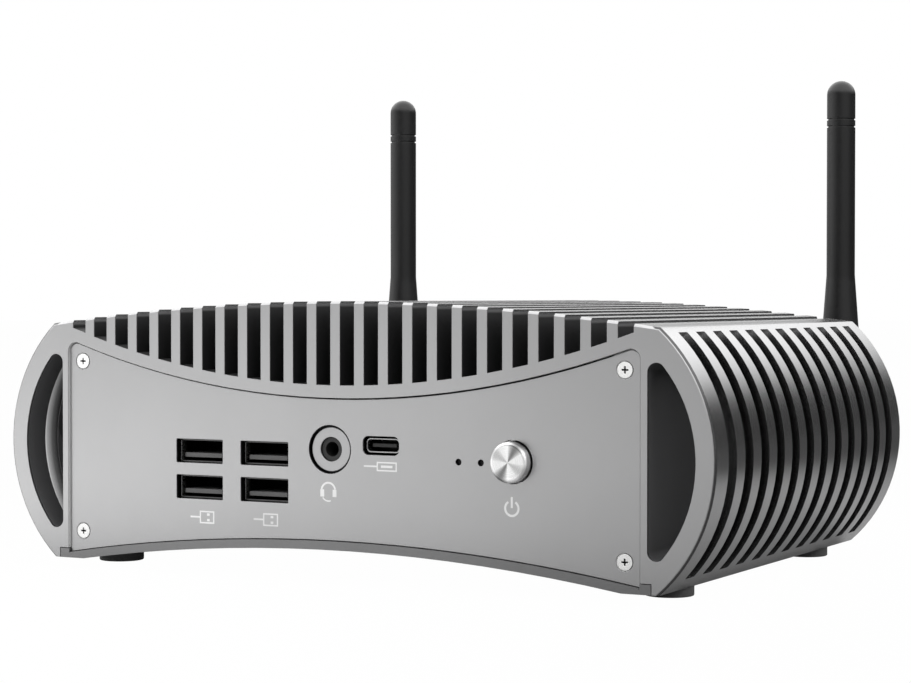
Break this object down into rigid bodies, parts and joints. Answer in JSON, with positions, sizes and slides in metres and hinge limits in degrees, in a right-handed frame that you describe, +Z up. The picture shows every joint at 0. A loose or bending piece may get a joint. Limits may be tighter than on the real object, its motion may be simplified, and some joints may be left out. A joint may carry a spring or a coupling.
{
  "type": "mini pc",
  "caption": "Fanless mini pc: finned aluminium case with open side channels, waisted end panels, front and rear ports, and folding swivel antennas.",
  "frame": {"origin": "middle of the whole object's box at the level of the feet's undersides", "axes": "+Z up, -Y out of the front panel, +X to the right as seen from the front"},
  "size_m": [0.1982, 0.1712, 0.1328],
  "materials": {
    "anodised_body": "fine satin anodised",
    "anodised_panel": "fine satin anodised",
    "cover_metal": "satin, darker grey",
    "bright_metal": "bright plated",
    "spun_metal": "circular brushed",
    "dark_screw": "blackened",
    "rubber": "matt",
    "black_plastic": "satin",
    "antenna_plastic": "satin moulded",
    "grey_plastic": "satin",
    "blue_plastic": "satin",
    "circuit_board": "solder mask",
    "brass_plated": "plated",
    "clear_plastic": "clear moulded",
    "pad_grey": "soft pad"
  },
  "bodies": {
    "case": {"chassis": "anodised_body", "bottom_cover": "cover_metal", "cover_screws": "dark_screw", "feet": "rubber", "front_panel": "anodised_panel", "front_panel_screws": "bright_metal", "rear_panel": "anodised_panel", "rear_panel_screws": "bright_metal", "motherboard": "circuit_board", "board_standoffs": "brass_plated", "motherboard_screws": "bright_metal", "cpu_package": "circuit_board", "thermal_pad": "pad_grey", "heat_block": "anodised_panel", "heat_block_screws": "bright_metal", "board_inductors": "black_plastic", "board_capacitors": "bright_metal", "board_chips": "black_plastic", "memory_socket": "black_plastic", "memory_module": "circuit_board", "ssd_socket": "black_plastic", "ssd_module": "circuit_board", "wifi_socket": "black_plastic", "wifi_card": "circuit_board", "card_screws": "brass_plated", "coin_cell_holder": "black_plastic", "coin_cell": "bright_metal", "front_usb_shells": "bright_metal", "front_usb_tongues": "grey_plastic", "io_board": "circuit_board", "io_header": "black_plastic", "headset_jack": "black_plastic", "headset_jack_nut": "bright_metal", "usb_c_shell": "bright_metal", "usb_c_tongue": "black_plastic", "led_chips": "clear_plastic", "light_pipes": "clear_plastic", "power_switch": "black_plastic", "power_button_guide": "black_plastic", "power_button_spring": "bright_metal", "dc_jack": "black_plastic", "dc_jack_pin": "bright_metal", "display_shells": "bright_metal", "display_tongues": "black_plastic", "lan_jacks": "bright_metal", "rear_usb_shells": "bright_metal", "rear_usb_tongues": "blue_plastic", "antenna_jacks": "brass_plated", "antenna_jack_nuts": "brass_plated", "antenna_leads": "black_plastic", "antenna_coupling_nuts": "brass_plated"},
    "power_button": {"power_button_cap": "spun_metal", "switch_plunger": "black_plastic"},
    "left_antenna_elbow": {"left_antenna_base": "antenna_plastic", "left_antenna_pin": "bright_metal"},
    "left_antenna_arm": {"left_antenna_whip": "antenna_plastic"},
    "right_antenna_elbow": {"right_antenna_base": "antenna_plastic", "right_antenna_pin": "bright_metal"},
    "right_antenna_arm": {"right_antenna_whip": "antenna_plastic"}
  },
  "joints": [
    {"name": "power_button_press", "type": "slide", "parent": "case", "child": "power_button", "axis": [0, 1, 0], "range_m": [0, 0.0012], "stiffness_N_per_m": 900, "springref_m": -0.001, "deforming": ["power_button_spring"]},
    {"name": "left_antenna_swivel", "type": "hinge", "parent": "case", "child": "left_antenna_elbow", "pos_m": [-0.07285, 0.08038, 0.0445], "axis": [0, 1, 0], "continuous": true},
    {"name": "left_antenna_tilt", "type": "hinge", "parent": "left_antenna_elbow", "child": "left_antenna_arm", "pos_m": [-0.07285, 0.08038, 0.0445], "axis": [-1, 0, 0], "range_deg": [0, 90]},
    {"name": "right_antenna_swivel", "type": "hinge", "parent": "case", "child": "right_antenna_elbow", "pos_m": [0.07285, 0.08038, 0.0445], "axis": [0, 1, 0], "continuous": true},
    {"name": "right_antenna_tilt", "type": "hinge", "parent": "right_antenna_elbow", "child": "right_antenna_arm", "pos_m": [0.07285, 0.08038, 0.0445], "axis": [-1, 0, 0], "range_deg": [0, 90]}
  ]
}
